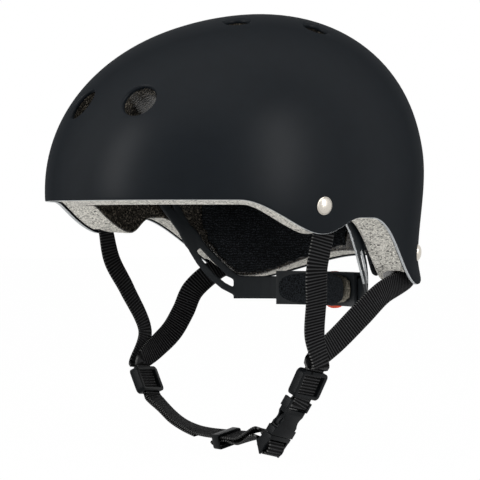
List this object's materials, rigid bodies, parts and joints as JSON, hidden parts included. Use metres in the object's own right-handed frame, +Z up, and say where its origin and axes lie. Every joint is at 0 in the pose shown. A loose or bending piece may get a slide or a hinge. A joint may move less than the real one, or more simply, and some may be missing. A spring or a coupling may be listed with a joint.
{
  "type": "sport helmet",
  "caption": "Hard-shell sport helmet with round vents, foam liner, comfort pads, a webbing chin harness with a side-release buckle, and a dial-adjusted rear fit band.",
  "frame": {"origin": "on the middle plane of the head opening, level with the front brim's edge", "axes": "-Y to the front, +Y to the back, +X to the wearer's left, +Z up to the crown"},
  "size_m": [0.2118, 0.2568, 0.2728],
  "materials": {
    "shell": "satin moulded ABS",
    "foam": "expanded polystyrene beads",
    "pad": "knitted cover over foam",
    "hook": "woven hook tape",
    "rivet": "satin plated steel",
    "washer": "plated",
    "webbing": "ribbed polyester webbing",
    "buckle": "moulded acetal",
    "band": "moulded nylon",
    "cushion": "open-cell foam",
    "dial_grey": "moulded nylon",
    "dial_orange": "over-moulded ring",
    "screw": "plated"
  },
  "bodies": {
    "helmet": {"outer_shell": "shell", "eps_liner": "foam", "front_pad": "pad", "crown_pad": "pad", "left_side_pad": "pad", "right_side_pad": "pad", "left_rear_pad": "pad", "right_rear_pad": "pad", "hook_dots": "hook", "left_side_rivet": "rivet", "right_side_rivet": "rivet", "left_rear_rivet": "rivet", "right_rear_rivet": "rivet", "rivet_washers": "washer", "left_strap": "webbing", "right_front_strap": "webbing", "right_rear_strap": "webbing", "buckle_socket": "buckle", "left_band_arm": "band", "right_band_arm": "band", "band_anchors": "band"},
    "cradle": {"cradle_housing": "band", "cradle_cover": "band", "cradle_foam": "cushion", "cradle_fabric": "pad", "dial_screw": "screw"},
    "dial": {"dial_pinion": "band", "dial_knob": "dial_grey", "dial_ring": "dial_orange"},
    "left_slider": {"left_slider": "buckle"},
    "right_slider": {"right_slider": "buckle"},
    "plug": {"buckle_plug": "buckle"},
    "front_prong": {"front_prong": "buckle"},
    "rear_prong": {"rear_prong": "buckle"},
    "keeper": {"strap_keeper": "buckle"},
    "left_rack": {"left_rack": "band"},
    "right_rack": {"right_rack": "band"}
  },
  "joints": [
    {"name": "left_slider_slide", "type": "slide", "parent": "helmet", "child": "left_slider", "axis": [0.3677, 0.1908, 0.9102], "range_m": [-0.0005, 0.012], "deforming": ["left_strap"]},
    {"name": "right_slider_slide", "type": "slide", "parent": "helmet", "child": "right_slider", "axis": [-0.4405, -0.0458, 0.8966], "range_m": [-0.003, 0.012], "deforming": ["right_front_strap", "right_rear_strap"]},
    {"name": "buckle_release", "type": "slide", "parent": "helmet", "child": "plug", "axis": [-0.4405, -0.2419, -0.8645], "range_m": [0, 0.02], "deforming": ["right_rear_strap", "right_front_strap", "front_prong", "rear_prong"]},
    {"name": "front_prong_squeeze", "type": "hinge", "parent": "plug", "child": "front_prong", "pos_m": [0.06167, -0.02633, -0.13849], "axis": [0.891, 0, -0.454], "range_deg": [-6, 0], "stiffness_Nm_per_rad": 0.02},
    {"name": "rear_prong_squeeze", "type": "hinge", "parent": "plug", "child": "rear_prong", "pos_m": [0.06066, -0.0174, -0.14048], "axis": [0.891, 0, -0.454], "range_deg": [0, 6], "stiffness_Nm_per_rad": 0.02},
    {"name": "keeper_slide", "type": "slide", "parent": "helmet", "child": "keeper", "axis": [0.9917, -0.1288, 0], "range_m": [-0.002, 0.01], "deforming": ["right_rear_strap"]},
    {"name": "cradle_slide", "type": "slide", "parent": "helmet", "child": "cradle", "axis": [0, -1, 0], "range_m": [-0.00604, 0.00604], "deforming": ["left_band_arm", "right_band_arm"]},
    {"name": "dial_turn", "type": "hinge", "parent": "cradle", "child": "dial", "pos_m": [0, 0.09, -0.058], "axis": [0, 1, 0], "range_deg": [-90, 90]},
    {"name": "left_rack_run", "type": "hinge", "parent": "cradle", "child": "left_rack", "pos_m": [0, 0.0094, -0.057], "axis": [0, 0, 1], "range_deg": [-5.9, 5.9], "deforming": ["left_band_arm"]},
    {"name": "right_rack_run", "type": "hinge", "parent": "cradle", "child": "right_rack", "pos_m": [0, 0.0094, -0.057], "axis": [0, 0, 1], "range_deg": [-5.9, 5.9], "deforming": ["right_band_arm"]}
  ],
  "couplings": [
    {"joint": "dial_turn", "follows": "cradle_slide", "rad_per_m": -259.74},
    {"joint": "left_rack_run", "follows": "cradle_slide", "rad_per_m": 16.868},
    {"joint": "right_rack_run", "follows": "cradle_slide", "rad_per_m": -16.868}
  ]
}
